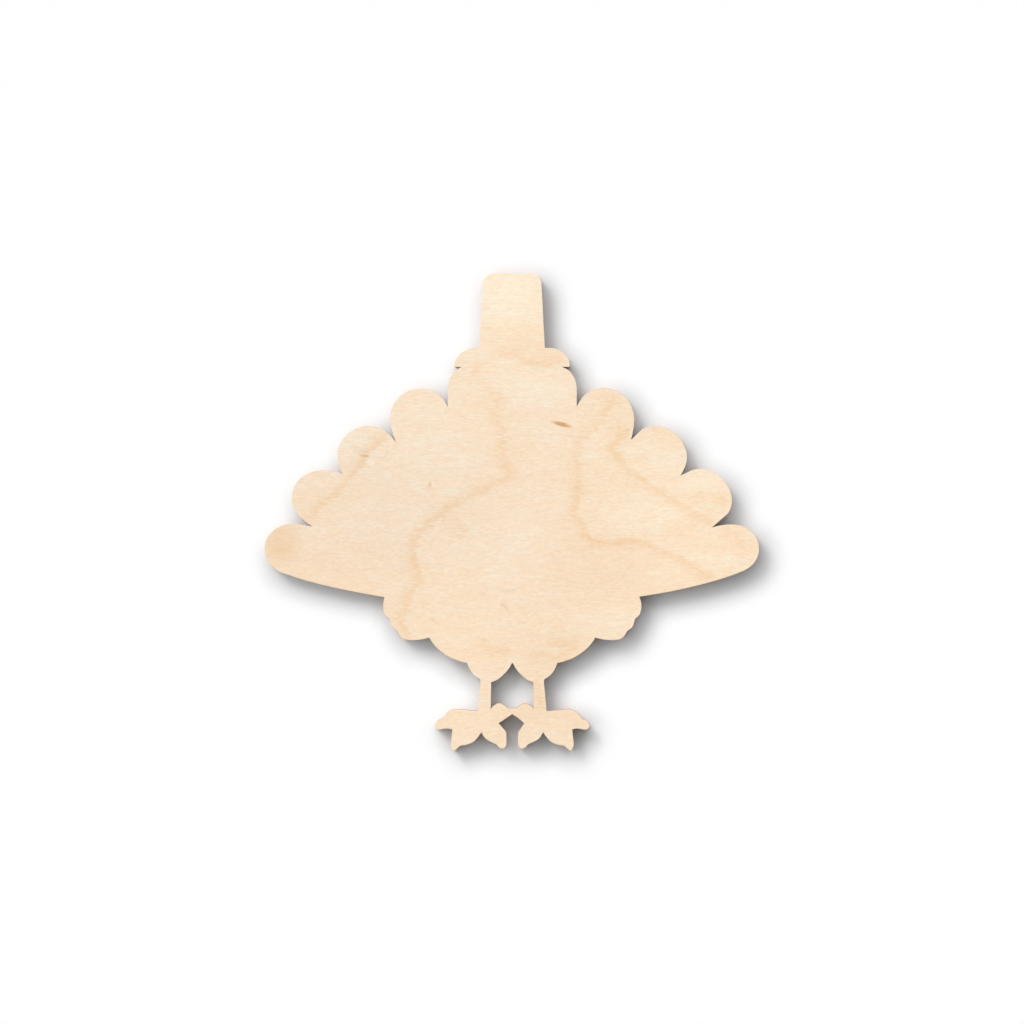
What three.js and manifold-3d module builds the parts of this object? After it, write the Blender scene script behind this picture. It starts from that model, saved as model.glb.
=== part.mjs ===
// A wooden turkey cutout: a craft blank cut in one pass out of five-ply birch board.
// It lies on its back face. +Z comes out of the good face, +Y points to the hat, +X to the viewer's right.
// All lengths are millimetres. Heights are measured up from the line that the claws stand on. Both
// sides of the turkey are alike but for its feathers. The outline is centred on the origin at the end.

import * as THREE from 'three';
import { mergeVertices } from 'three/addons/utils/BufferGeometryUtils.js';
import Module from 'manifold-3d';

// Board: two veneers, two crossbands and a core, with a film of glue between every two
const veneerThickness = 0.9;
const crossbandThickness = 1.25;
const coreThickness = 1.3;
const glueThickness = 0.1;

// Feet and legs
const footReach = 47.7;
const footHeight = 25.4;
const legLength = 17.9;
const legGap = 26;
const legTopWidth = 6.6;
const legFootWidth = 8.2;

// Thighs and belly
const thighWidth = 27.6;
const thighHeight = 11.5;
const bellyRadius = 34.3;
const bellySpread = 22.4;

// Tufts of down between the belly and the wing's corner
const tuftInset = 51.4;
const tuftWidth = 28.3;
const tuftHeight = 26.5;
const tuftLift = 14.6;

// Tail fan
const featherReach = 125;
const featherHalfWidth = 18;
const featherTipLength = 18;
const featherShankLength = 30;
const undersideBow = 3.8;

// Head
const headReach = 121.5;
const headHalfWidth = 40;
const headHalfHeight = 24.2;

// Hat
const brimSeat = 20.4;
const brimHalfWidth = 35.6;
const brimHeight = 12.2;
const brimRoundLength = 14.6;
const brimLip = 1.2;
const crownHeight = 45.7;
const crownBaseHalfWidth = 20.5;
const crownTopHalfWidth = 18.1;
const crownCorner = 7;

// The laser's own cut: no step of the outline is shorter
const cutWidth = 0.2;

// A point of the outline that stands out by less than this is left out
const outlineTolerance = 0.1;

// How finely round stretches are divided
const stepsPerTurn = 28;
const stepsPerSpan = 3;
const stepsPerCorner = 5;

// A squarer head has a higher number: 2 is an ellipse
const headSquareness = 3.5;

// Four feathers a side, the first beside the head. Angles are degrees: how far the feather spreads
// from upright, and how far its tip leans back towards upright. The fan is one sheet out to the share
// named sheet of each feather's reach, which sets how deep the notches between feathers run.
const rightFeatherShares = [
  { spread: 27.4, lean: 20, reach: 0.98, width: 1.05, tip: 1.14, shank: 1, sheet: 0.98 },
  { spread: 45.6, lean: 3, reach: 1.018, width: 1.005, tip: 0.85, shank: 1.5, sheet: 1.01 },
  { spread: 62.1, lean: 18, reach: 1.083, width: 0.985, tip: 0.77, shank: 1.5, sheet: 0.99 },
  { spread: 77.6, lean: -12, reach: 1.115, width: 0.83, tip: 0.9, shank: 1, sheet: 0.955 },
];
const leftFeatherShares = [
  { spread: 27.3, lean: 16, reach: 0.99, width: 1.035, tip: 1.045, shank: 1, sheet: 0.99 },
  { spread: 45.5, lean: 29, reach: 1, width: 1.035, tip: 1.005, shank: 1, sheet: 0.985 },
  { spread: 62.3, lean: -14, reach: 1.035, width: 1.005, tip: 1.2, shank: 1, sheet: 0.995 },
  { spread: 77.7, lean: -4, reach: 1.105, width: 0.885, tip: 0.99, shank: 1, sheet: 0.995 },
];

// The lowest feather's underside leaves the feather's round outline at this share of one turn from
// its tip, and bends at this share of its way to the wing's corner
const undersideStartShare = 0.82;
const undersideBendShare = 0.3;

// The wing's corner lies at this share of the tuft's width, and the ankle at this share of the
// foot's height
const wingCornerShare = 0.97;
const ankleShare = 0.95;

// Outline of one foot, in shares of the foot's reach from the centre line and of its height.
// Every row is one smooth stretch between two sharp notches.
const footShares = [
  [[0, 0.885], [0.09, 0.77], [0.155, 0.66]],
  [[0.155, 0.66], [0.09, 0.48], [0.075, 0.355], [0.08, 0.125], [0.125, 0.045], [0.18, 0.09],
    [0.21, 0.155], [0.335, 0.275], [0.4, 0.44]],
  [[0.4, 0.44], [0.49, 0.23], [0.6, 0.135], [0.67, 0.115], [0.725, 0.025], [0.76, 0], [0.79, 0.09],
    [0.795, 0.2], [0.775, 0.51]],
  [[0.775, 0.51], [0.83, 0.535], [0.9, 0.52], [0.965, 0.51], [1, 0.6], [0.96, 0.73], [0.9, 0.78],
    [0.85, 0.9], [0.76, 1], [0.62, 0.99], [0.36, ankleShare]],
  [[0.27, 1.045], [0.225, 1.11], [0.165, 1.15], [0.1, 1.1], [0.055, 1.035], [0, 1.03]],
];

// Outline of one thigh from the belly round to the crotch, in shares of its width and height
const thighShares = [
  [[1.02, 1.1], [1, 0.98], [0.94, 0.66], [0.825, 0.33], [0.6, 0.02], [0.47, 0.01], [0.3, 0.2],
    [0.12, 0.61], [0, 1]],
];

// Outline of one tuft from the wing's corner down to the belly, in shares of its width and height
const tuftShares = [
  [[0.96, 1.1], [wingCornerShare, 1], [1, 0.83], [0.99, 0.7], [0.95, 0.58], [0.86, 0.495]],
  [[0.86, 0.495], [0.83, 0.37], [0.785, 0.285], [0.69, 0.21]],
  [[0.69, 0.21], [0.63, 0.1], [0.54, 0.025], [0.4, 0], [0.2, 0.01], [0, 0.055], [-0.05, 0.07]],
];

// Heights worked out from the sizes above
const boardThickness = 2 * veneerThickness + 2 * crossbandThickness + coreThickness + 4 * glueThickness;
const ankleHeight = ankleShare * footHeight;
const thighBottom = ankleHeight + legLength;
const crotchHeight = thighBottom + thighHeight;
const bellyHeight = crotchHeight + bellyRadius;
const tuftBottom = crotchHeight + tuftLift;
const wingHeight = tuftBottom + tuftHeight;
const headHeight = wingHeight + headReach;
const brimBottom = headHeight + brimSeat;
const brimTop = brimBottom + brimHeight;
const crownTop = brimTop + crownHeight;

// The feathers leave one root, level with the wing's corner
const fanRoot = new THREE.Vector2(0, wingHeight);

const wasm = await Module();
wasm.setup();

// Points of smooth stretches that meet in sharp corners, with the shares laid out over a box
function stretches(rows, left, bottom, width, height) {
  return rows.flatMap((row) => {
    const points = row.map(([x, y]) => new THREE.Vector2(left + x * width, bottom + y * height));
    return new THREE.SplineCurve(points).getPoints((points.length - 1) * stepsPerSpan);
  });
}

// Points of a quarter ellipse, from level to upright
function quarter(x, y, reach, rise, from = 0) {
  return new THREE.EllipseCurve(x, y, reach, rise, from, from + Math.PI / 2).getPoints(stepsPerCorner);
}

// The same points on the turkey's other side
function mirrored(points) {
  return points.map((point) => new THREE.Vector2(-point.x, point.y)).reverse();
}

// Half an outline, from the centre line and back to it, completed by its mirror image
function bothHalves(points) {
  return points.concat(mirrored(points));
}

// An egg with its own half width, a round tip and a long shank, turned to point along an angle
function egg(centre, halfWidth, tipLength, shankLength, turn) {
  return Array.from({ length: stepsPerTurn }, (_, step) => {
    const angle = (step / stepsPerTurn) * 2 * Math.PI;
    const length = Math.cos(angle) > 0 ? tipLength : shankLength;
    const point = new THREE.Vector2(length * Math.cos(angle), halfWidth * Math.sin(angle));
    return point.rotateAround(new THREE.Vector2(), turn).add(centre);
  });
}

// An ellipse whose corners fill out as its squareness grows
function squaredEllipse(centre, halfWidth, halfHeight, squareness) {
  const filled = (value) => Math.sign(value) * Math.abs(value) ** (2 / squareness);
  return Array.from({ length: 2 * stepsPerTurn }, (_, step) => {
    const angle = (step / stepsPerTurn) * Math.PI;
    const x = halfWidth * filled(Math.cos(angle));
    return new THREE.Vector2(x, halfHeight * filled(Math.sin(angle))).add(centre);
  });
}

// Both feet, which share one web across the centre line
function feet() {
  return bothHalves(stretches(footShares, 0, 0, footReach, footHeight));
}

// One leg, from inside the foot up into the thigh
function leg() {
  const inner = legGap / 2;
  return [
    new THREE.Vector2(inner, ankleHeight - legFootWidth),
    new THREE.Vector2(inner + legFootWidth, ankleHeight - legFootWidth),
    new THREE.Vector2(inner + legFootWidth, ankleHeight),
    new THREE.Vector2(inner + legTopWidth, thighBottom),
    new THREE.Vector2(inner + legTopWidth, crotchHeight),
    new THREE.Vector2(inner, crotchHeight),
  ];
}

// Both thighs, closed inside the belly
function thighs() {
  const under = stretches(thighShares, 0, thighBottom, thighWidth, thighHeight);
  return bothHalves([new THREE.Vector2(0, bellyHeight), ...under]);
}

// One round half of the belly
function belly() {
  return egg(new THREE.Vector2(bellySpread, bellyHeight), bellyRadius, bellyRadius, bellyRadius, 0);
}

// Both tufts, closed through the body
function tufts() {
  const edge = stretches(tuftShares, tuftInset, tuftBottom, tuftWidth, tuftHeight);
  const inside = new THREE.Vector2(0, tuftBottom);
  return bothHalves([new THREE.Vector2(0, wingHeight), ...edge, inside]);
}

// A feather on the turkey's right-hand side: where its tip is widest, and the way it points
function featherPlace({ spread, lean, reach }) {
  const upward = Math.PI / 2 - THREE.MathUtils.degToRad(spread);
  const centre = new THREE.Vector2(reach * featherReach, 0).rotateAround(new THREE.Vector2(), upward);
  return { centre: centre.add(fanRoot), turn: upward + THREE.MathUtils.degToRad(lean) };
}

// Its outline
function feather(shares) {
  const { centre, turn } = featherPlace(shares);
  const halfWidth = shares.width * featherHalfWidth;
  const tipLength = shares.tip * featherTipLength;
  return egg(centre, halfWidth, tipLength, shares.shank * featherShankLength, turn);
}

// The sheet that all feathers and the head grow out of
function fanSheet() {
  const edgeOf = (row) => row.map((shares) => {
    return fanRoot.clone().lerp(featherPlace(shares).centre, shares.sheet);
  });
  const right = edgeOf(rightFeatherShares);
  const left = mirrored(edgeOf(leftFeatherShares));
  return [new THREE.Vector2(0, headHeight), ...right, fanRoot, ...left];
}

// The lowest feather's long underside, which bows on its way from the round tip to the wing's corner
function underside(shares) {
  const round = feather(shares);
  const from = round[Math.round(undersideStartShare * round.length)];
  const corner = new THREE.Vector2(tuftInset + wingCornerShare * tuftWidth, wingHeight);
  const bend = from.clone().lerp(corner, undersideBendShare);
  bend.y -= undersideBow;
  const edge = new THREE.QuadraticBezierCurve(from, bend, corner).getPoints(2 * stepsPerCorner);
  return [featherPlace(shares).centre, ...edge, fanRoot];
}

// The head, a squared ellipse
function head() {
  return squaredEllipse(new THREE.Vector2(0, headHeight), headHalfWidth, headHalfHeight, headSquareness);
}

// The hat's brim: flat below, with a small lip and a long round at each end
function brim() {
  const lipHeight = brimBottom + brimLip;
  return bothHalves([
    new THREE.Vector2(0, brimBottom),
    ...quarter(brimHalfWidth - brimLip, lipHeight, brimLip, brimLip, -Math.PI / 2),
    ...quarter(brimHalfWidth - brimRoundLength, lipHeight, brimRoundLength, brimHeight - brimLip),
    new THREE.Vector2(0, brimTop),
  ]);
}

// The hat's crown: sides that draw in, and round corners
function crown() {
  return bothHalves([
    new THREE.Vector2(0, brimBottom),
    new THREE.Vector2(crownBaseHalfWidth, brimBottom),
    new THREE.Vector2(crownBaseHalfWidth, brimTop),
    ...quarter(crownTopHalfWidth - crownCorner, crownTop - crownCorner, crownCorner, crownCorner),
    new THREE.Vector2(0, crownTop),
  ]);
}

// A closed geometry as a solid that can be joined
function solidOf(geometry) {
  const bare = geometry.clone();
  bare.deleteAttribute('normal');
  bare.deleteAttribute('uv');
  const merged = mergeVertices(bare);
  const vertProperties = merged.getAttribute('position').array;
  return new wasm.Manifold(new wasm.Mesh({ numProp: 3, vertProperties, triVerts: merged.index.array }));
}

// All outlines joined into one flat slab
function joined(outlines) {
  const slabs = outlines.map((points) => {
    const shape = new THREE.Shape(points);
    return solidOf(new THREE.ExtrudeGeometry(shape, { depth: boardThickness, bevelEnabled: false }));
  });
  return slabs.reduce((whole, slab) => whole.add(slab));
}

// The closed loops round a slab's top face: an edge that only one triangle has lies on a loop
function loopsOf(slab) {
  const { numProp, vertProperties, triVerts } = slab.getMesh();
  const onTop = (vertex) => vertProperties[vertex * numProp + 2] > boardThickness / 2;
  const edges = new Map();
  for (let at = 0; at < triVerts.length; at += 3) {
    const triangle = [...triVerts.slice(at, at + 3)];
    if (!triangle.every(onTop)) continue;
    triangle.forEach((vertex, corner) => {
      const next = triangle[(corner + 1) % 3];
      if (!edges.delete(`${next} ${vertex}`)) edges.set(`${vertex} ${next}`, [vertex, next]);
    });
  }
  const following = new Map(edges.values());
  const loops = [];
  while (following.size) {
    const loop = [];
    for (let vertex = following.keys().next().value; following.has(vertex);) {
      loop.push(new THREE.Vector2().fromArray(vertProperties, vertex * numProp));
      const next = following.get(vertex);
      following.delete(vertex);
      vertex = next;
    }
    loops.push(loop);
  }
  return loops;
}

// How far a point stands off the straight line between two others
function standOff(point, from, to) {
  const along = to.clone().sub(from);
  return Math.abs(along.cross(point.clone().sub(from))) / along.length();
}

// A loop without steps shorter than the cut, and without points that hardly stand out
function tidied(loop) {
  const kept = [];
  loop.forEach((point, index) => {
    const last = kept.at(-1);
    const next = loop[(index + 1) % loop.length];
    if (!last) kept.push(point);
    else if (point.distanceTo(last) < cutWidth) return;
    else if (standOff(point, last, next) >= outlineTolerance) kept.push(point);
  });
  return kept;
}

// The turkey's whole outline, centred on the origin, with the gap between its legs as a hole
function turkeyOutline() {
  const whole = [feet(), thighs(), tufts(), fanSheet(), head(), brim(), crown()];
  const right = [leg(), belly(), underside(rightFeatherShares.at(-1)), ...rightFeatherShares.map(feather)];
  const left = [leg(), belly(), underside(leftFeatherShares.at(-1)), ...leftFeatherShares.map(feather)];
  const slab = joined([...whole, ...right, ...left.map(mirrored)]);
  const loops = loopsOf(slab).map(tidied);
  loops.sort((one, other) => THREE.ShapeUtils.area(other) - THREE.ShapeUtils.area(one));
  const middle = new THREE.Box2().setFromPoints(loops[0]).getCenter(new THREE.Vector2());
  loops.flat().forEach((point) => point.sub(middle));
  const outline = new THREE.Shape(loops[0]);
  outline.holes = loops.slice(1).map((loop) => new THREE.Path(loop));
  return outline;
}

// One layer of the board. Its faces take exactly the levels that its neighbours' faces take.
function layer(outline, bottom, top) {
  const geometry = new THREE.ExtrudeGeometry(outline, { depth: top - bottom, bevelEnabled: false });
  const place = geometry.getAttribute('position');
  for (let vertex = 0; vertex < place.count; vertex += 1) {
    place.setZ(vertex, place.getZ(vertex) > 0 ? top : bottom);
  }
  return geometry;
}

// A wood ply or glue film, its colour as seen on the cut edge or the face
function finish(color, roughness) {
  return new THREE.MeshStandardMaterial({ color, roughness, metalness: 0 });
}

// The plies from the back face to the good face
const plies = [
  { name: 'back_veneer', thickness: veneerThickness, color: 0xeed3ae },
  { name: 'crossband_back', thickness: crossbandThickness, color: 0xc79a66 },
  { name: 'core_ply', thickness: coreThickness, color: 0xd9b482 },
  { name: 'crossband_front', thickness: crossbandThickness, color: 0xc99d6a },
  { name: 'face_veneer', thickness: veneerThickness, color: 0xf5deba },
];

const turkey = new THREE.Group();
const outline = turkeyOutline();
let level = 0;
plies.forEach(({ name, thickness, color }, index) => {
  if (index > 0) {
    const glueTop = level + glueThickness;
    const film = new THREE.Mesh(layer(outline, level, glueTop), finish(0x6b4423, 0.55));
    film.name = `glue_line_${index}`;
    turkey.add(film);
    level = glueTop;
  }
  const ply = new THREE.Mesh(layer(outline, level, level + thickness), finish(color, 0.7));
  ply.name = name;
  turkey.add(ply);
  level += thickness;
});

export default turkey;
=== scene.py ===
# %% [markdown]
# # A wooden turkey cutout
# This is a craft blank: a flat turkey in a tall hat, cut from one board and left bare to paint.
# The board is birch plywood, five plies of wood with a film of glue between each pair. We build it
# as it is made, one layer on the next, and give each layer the finish that its cut leaves on it.

import math

import bmesh
import bpy
import numpy as np
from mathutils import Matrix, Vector


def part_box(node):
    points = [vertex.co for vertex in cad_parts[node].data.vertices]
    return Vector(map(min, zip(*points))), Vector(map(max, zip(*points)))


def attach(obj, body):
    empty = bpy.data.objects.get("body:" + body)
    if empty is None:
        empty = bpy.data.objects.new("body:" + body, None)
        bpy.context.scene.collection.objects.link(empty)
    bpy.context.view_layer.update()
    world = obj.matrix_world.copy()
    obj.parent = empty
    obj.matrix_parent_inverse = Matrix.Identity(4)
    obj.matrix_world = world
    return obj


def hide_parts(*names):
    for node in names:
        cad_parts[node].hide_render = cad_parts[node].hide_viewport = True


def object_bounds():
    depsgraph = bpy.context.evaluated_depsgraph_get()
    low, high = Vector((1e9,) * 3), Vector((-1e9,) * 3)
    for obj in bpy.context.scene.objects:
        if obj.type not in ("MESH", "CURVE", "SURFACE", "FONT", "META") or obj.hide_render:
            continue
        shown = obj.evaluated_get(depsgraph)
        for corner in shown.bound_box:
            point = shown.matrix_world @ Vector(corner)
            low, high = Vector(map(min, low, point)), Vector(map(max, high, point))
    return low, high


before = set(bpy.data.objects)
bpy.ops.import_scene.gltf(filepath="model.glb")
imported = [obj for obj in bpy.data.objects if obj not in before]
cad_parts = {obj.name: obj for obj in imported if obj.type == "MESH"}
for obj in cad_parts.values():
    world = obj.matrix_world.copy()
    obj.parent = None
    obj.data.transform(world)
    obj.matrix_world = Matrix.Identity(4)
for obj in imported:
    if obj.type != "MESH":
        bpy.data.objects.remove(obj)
cad_low, cad_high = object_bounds()
MM = 0.001
size_mm = [round(side / MM, 2) for side in cad_high - cad_low]
print("the board is", size_mm[0], "by", size_mm[1], "by", size_mm[2], "mm")

# %% [markdown]
# ## The camera
# The photograph looks straight down on the board from far off, so its sides stay hidden. A long
# lens from above gives the same flat view. One pixel of the photograph is 0.6166 mm of the board.
# That fixes how far up the camera stands, and turns any pixel into a place on the board.

# %% Place the camera above the board
PIXEL = 0.6166 * MM
PIXELS_ACROSS = 1024
LENS_MM = 200
FILM_MM = 36
camera_data = bpy.data.cameras.new("camera above")
camera_data.lens = LENS_MM
camera_data.sensor_width = FILM_MM
camera = bpy.data.objects.new("camera above", camera_data)
camera_height = PIXELS_ACROSS * PIXEL * LENS_MM / FILM_MM
camera.location = (0, 0, cad_high.z + camera_height)
bpy.context.scene.collection.objects.link(camera)
bpy.context.scene.camera = camera


def on_board(pixel_x, pixel_y):
    """A place in the photograph, as millimetres on the board from its middle."""
    middle = PIXELS_ACROSS / 2
    return (pixel_x - middle) * PIXEL / MM, (middle - pixel_y) * PIXEL / MM


print("camera", round(camera_height, 3), "m above the good face")

# %% [markdown]
# ## The lamp
# The shadow in the photograph falls to the lower right and has a wide, soft border. Most of that
# light is a glow overhead, which we draw in the world further down. One soft lamp low on the
# upper left adds the rest. Together they light the face at a plain level, where a colour renders
# about as it is written, so each has a share and the shares add up to one.

# %% Set up the lamp
LAMP_SHARE = 0.14
LAMP_TURN = math.radians(131.5)
LAMP_HEIGHT = math.radians(25)
LAMP_SPREAD = math.radians(22)
lamp_data = bpy.data.lights.new("soft lamp", "SUN")
lamp_data.energy = LAMP_SHARE * math.pi / math.sin(LAMP_HEIGHT)
lamp_data.angle = LAMP_SPREAD
lamp = bpy.data.objects.new("soft lamp", lamp_data)
lamp_from = Vector((math.cos(LAMP_TURN), math.sin(LAMP_TURN), math.tan(LAMP_HEIGHT)))
lamp.rotation_euler = lamp_from.to_track_quat("Z", "Y").to_euler()
bpy.context.scene.collection.objects.link(lamp)
bpy.context.scene.view_settings.view_transform = "Standard"
print("lamp strength", round(lamp_data.energy, 2))

# %% [markdown]
# ## Helpers for finishes
# Colours are written as they look on a screen. A render adds light up in linear numbers, so one
# function turns a written colour into those. A second one adds a node, sets it up and links it,
# and a third one starts a finish.

# %% Write colours, add nodes and start a finish
def linear(hex_colour):
    """A colour written as #RRGGBB, as linear numbers, by the constants of the sRGB curve."""
    channels = []
    for start in (1, 3, 5):
        level = int(hex_colour[start:start + 2], 16) / 255
        channels.append(level / 12.92 if level <= 0.04045 else ((level + 0.055) / 1.055) ** 2.4)
    return (*channels, 1.0)


def add(tree, kind, inputs=None, **settings):
    """Adds a node, sets it up and fills its inputs. A node in them links by its first output."""
    node = tree.nodes.new("ShaderNode" + kind)
    for setting, value in settings.items():
        setattr(node, setting, value)
    for socket, value in (inputs or {}).items():
        if isinstance(value, bpy.types.Node):
            value = value.outputs[0]
        if isinstance(value, bpy.types.NodeSocket):
            tree.links.new(value, node.inputs[socket])
        else:
            node.inputs[socket].default_value = value
    return node


def empty_finish(name):
    """A finish with nothing in it yet, and its node tree."""
    finish = bpy.data.materials.new(name)
    finish.use_nodes = True
    finish.node_tree.nodes.clear()
    return finish, finish.node_tree


print("bare birch in linear numbers", [round(part, 3) for part in linear("#F8E1C5")])

# %% [markdown]
# ## The glow overhead
# Think of a flat white ceiling one metre above the table. A round patch of it glows, and its
# middle lies to the upper left. First we find where each direction of the sky meets that ceiling,
# and how far that is from the patch's middle.

# %% Find each direction's place on the ceiling
GLOW_TURN = math.radians(129)
GLOW_AWAY = 1.26  # metres along the ceiling, from overhead to the patch's middle
HORIZON = 0.02  # nothing lower counts, so that nothing is divided by nought
world = bpy.data.worlds.new("white room with a glow overhead")
bpy.context.scene.world = world
world.use_nodes = True
sky = world.node_tree
sky.nodes.clear()
to_sky = add(sky, "TexCoord").outputs["Generated"]
height = add(sky, "SeparateXYZ", {0: to_sky}).outputs[2]
height = add(sky, "Math", {0: height, 1: HORIZON}, operation="MAXIMUM")
on_ceiling = add(sky, "CombineXYZ", {0: height, 1: height, 2: height})
on_ceiling = add(sky, "VectorMath", {0: to_sky, 1: on_ceiling}, operation="DIVIDE")
patch_middle = (GLOW_AWAY * math.cos(GLOW_TURN), GLOW_AWAY * math.sin(GLOW_TURN), 1)
from_middle = add(
    sky, "VectorMath", {0: on_ceiling, 1: patch_middle}, operation="DISTANCE",
).outputs["Value"]
print("the glow's middle is", round(math.degrees(math.atan(GLOW_AWAY))), "degrees from overhead")

# %% [markdown]
# Light from a far part of a ceiling arrives weaker, by the fourth power of its height in the sky.
# We divide by that, so every part of the patch lights the table alike. That gives the shadow its
# soft, round falloff.

# %% Draw the glow
GLOW_SHARE = 0.86
GLOW_RADIUS = 2.54  # metres along the ceiling
GLOW_SOFTNESS = 0.17  # nought for an even disc, one for a glow that fades all the way out
share_out = add(sky, "Math", {0: from_middle, 1: GLOW_RADIUS}, operation="DIVIDE")
share_out = add(sky, "Math", {0: share_out, 1: 2.0}, operation="POWER")
share_in = add(sky, "Math", {0: 1.0, 1: share_out}, operation="SUBTRACT", use_clamp=True)
level = add(sky, "Math", {0: share_in, 1: GLOW_SOFTNESS}, operation="POWER")
height_fourth = add(sky, "Math", {0: height, 1: 4.0}, operation="POWER")
level = add(sky, "Math", {0: level, 1: height_fourth}, operation="DIVIDE")
evenly = GLOW_SHARE * (GLOW_SOFTNESS + 1) / GLOW_RADIUS ** 2
level = add(sky, "Math", {0: level, 1: evenly}, operation="MULTIPLY")
print("the glow gives", GLOW_SHARE, "of the light, the lamp", LAMP_SHARE)

# %% [markdown]
# The glow is there to light the board. The camera has to see a plain white room instead, and so
# does a gloss or a glass that mirrors it. The kind of ray says who is looking.

# %% Show a white room to whoever looks
def looked_at(tree):
    """One where the camera, a gloss or a glass looks, and nought where light only bounces."""
    path = add(tree, "LightPath").outputs
    looks = add(
        tree, "Math", {0: path["Is Camera Ray"], 1: path["Is Glossy Ray"]}, operation="MAXIMUM",
    )
    return add(tree, "Math", {0: looks, 1: path["Is Transmission Ray"]}, operation="MAXIMUM")


room_light = add(sky, "Background", {"Color": linear("#FFFFFF"), "Strength": level})
room_seen = add(sky, "Background", {"Color": linear("#FFFFFF"), "Strength": 1.0})
room = add(sky, "MixShader", {0: looked_at(sky), 1: room_light, 2: room_seen})
add(sky, "OutputWorld", {"Surface": room})
print("white to look at, a glow for the board")

# %% [markdown]
# ## The backdrop
# The photograph is cut out on white. White paper does the same and still shows the shadow. What
# bounces off it onto the board is dimmer than what is seen of it, so the shadow stays deep beside
# the board.

# %% Mix the paper's finish
paper_finish, tree = empty_finish("white paper, matt")
paper_seen = add(tree, "BsdfDiffuse", {"Color": linear("#FFFFFF")})
paper_bounce = add(tree, "BsdfDiffuse", {"Color": linear("#808080")})
paper_mix = add(tree, "MixShader", {0: looked_at(tree), 1: paper_bounce, 2: paper_seen})
add(tree, "OutputMaterial", {"Surface": paper_mix})
print("paper that looks white and bounces grey")

# %% [markdown]
# The sheet lies level with the board's back face, far wider than the view from above. Beyond its
# edge the white room takes over.

# %% Roll out the paper
PAPER_SIDE = 6.0


def made_piece(bm, name, finishes):
    """An object in the scene, made of what was shaped, with its finishes."""
    mesh = bpy.data.meshes.new(name)
    bm.to_mesh(mesh)
    bm.free()
    for finish in finishes:
        mesh.materials.append(finish)
    piece = bpy.data.objects.new(name, mesh)
    bpy.context.scene.collection.objects.link(piece)
    return piece


sheet = bmesh.new()
bmesh.ops.create_grid(sheet, x_segments=1, y_segments=1, size=PAPER_SIDE / 2)
made_piece(sheet, "paper", [paper_finish])
print("paper", PAPER_SIDE, "m square")

# %% [markdown]
# ## The outline
# A laser follows curves. The frame holds the cut as short straight steps, so we take its points
# and lay a smooth Bezier curve through them. Every lobe, cheek and claw stays round that way. The
# notches between the feathers stay sharp, because there the beam stops and turns on the spot.

# %% Read the rings of points from the frame
SAME_PLACE = 0.001 * MM
SAME_LEVEL = 0.01 * MM


def cut_rings(node):
    """Each ring of the upper side's rim, from its leftmost point on, with the wood on the left."""
    copy = bmesh.new()
    copy.from_mesh(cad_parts[node].data)
    bmesh.ops.remove_doubles(copy, verts=copy.verts, dist=SAME_PLACE)
    top = max(vert.co.z for vert in copy.verts)
    not_top = [face for face in copy.faces if face.calc_center_median().z < top - SAME_LEVEL]
    bmesh.ops.delete(copy, geom=not_top, context="FACES")
    step = {}
    for edge in copy.edges:
        if edge.is_boundary:
            corner = edge.link_loops[0]
            step[corner.vert] = corner.link_loop_next.vert
    rings = []
    while step:
        start = min(step, key=lambda vert: vert.co[:])
        here = step.pop(start)
        ring = [start.co.xy]
        while here is not start:
            ring.append(here.co.xy)
            here = step.pop(here)
        rings.append([point.copy() for point in ring])
    copy.free()
    return sorted(rings, key=len, reverse=True)


rings = cut_rings("face_veneer")
print("rim of", len(rings[0]), "points, leg gap of", len(rings[1]), "points")

# %% [markdown]
# Between some feathers the frame's notch ends in two corners, a millimetre or two apart, and is
# blunt. The photograph shows one sharp tip in each, a hair further in. So we read those tips off
# it, as pixels.

# %% Read the tips of the notches
NOTCH_TIPS = {
    "hat side, right": (544.9, 347.9),
    "under the brim, left": (461.6, 366.9),
    "under the brim, right": (562.1, 366.7),
    "above the first left feather": (447.7, 406.9),
    "above the first right feather": (576.8, 406.4),
    "below the first left feather": (395.9, 442.3),
    "below the first right feather": (631.3, 439.9),
    "below the second right feather": (680.7, 475.5),
    "above the lowest left feather": (312.1, 526.5),
    "above the lowest right feather": (712.1, 527.5),
    "below the lowest right feather": (639.5, 596.8),
    "inner toe of the left foot": (498.7, 723.3),
    "top of the leg gap": (512.3, 662.6),
    "foot of the leg gap, left": (490.7, 708.9),
    "foot of the leg gap, right": (533.8, 708.6),
}
tips = [Vector(on_board(*pixel)) * MM for pixel in NOTCH_TIPS.values()]
print(len(tips), "tips")

# %% [markdown]
# Every point near a tip is then drawn to it, so a blunt end becomes one point.

# %% Draw the notches to their tips
TIP_REACH = 3.2 * MM


def drawn_to_tips(ring):
    """The ring with all points near a tip replaced by that tip."""
    drawn = []
    for here in ring:
        near = [tip for tip in tips if (tip - here).length < TIP_REACH]
        if not near:
            drawn.append(here)
        elif not drawn or drawn[-1] is not near[0]:
            drawn.append(near[0])
    if drawn[0] is drawn[-1]:
        drawn.pop()
    return drawn


points_before = sum(len(ring) for ring in rings)
rings = [drawn_to_tips(ring) for ring in rings]
print(points_before - sum(len(ring) for ring in rings), "points fewer")

# %% [markdown]
# At each point the curve needs a direction. Most often it lies halfway between the steps before
# and after. Beside a long straight run, such as a hat side, it is that run's own.

# %% Find the direction of the cut at a point
LONG_RUN = 3  # times as long as the step on the other side


def direction_at(inward, onward):
    """The direction of the cut at a point between two steps."""
    if inward.length > LONG_RUN * onward.length:
        return inward.normalized()
    if onward.length > LONG_RUN * inward.length:
        return onward.normalized()
    return (inward.normalized() + onward.normalized()).normalized()


corner = direction_at(Vector((1, 0)), Vector((0, 1)))
print("a square corner is passed at", round(math.degrees(math.atan2(*corner))), "degrees")

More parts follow.
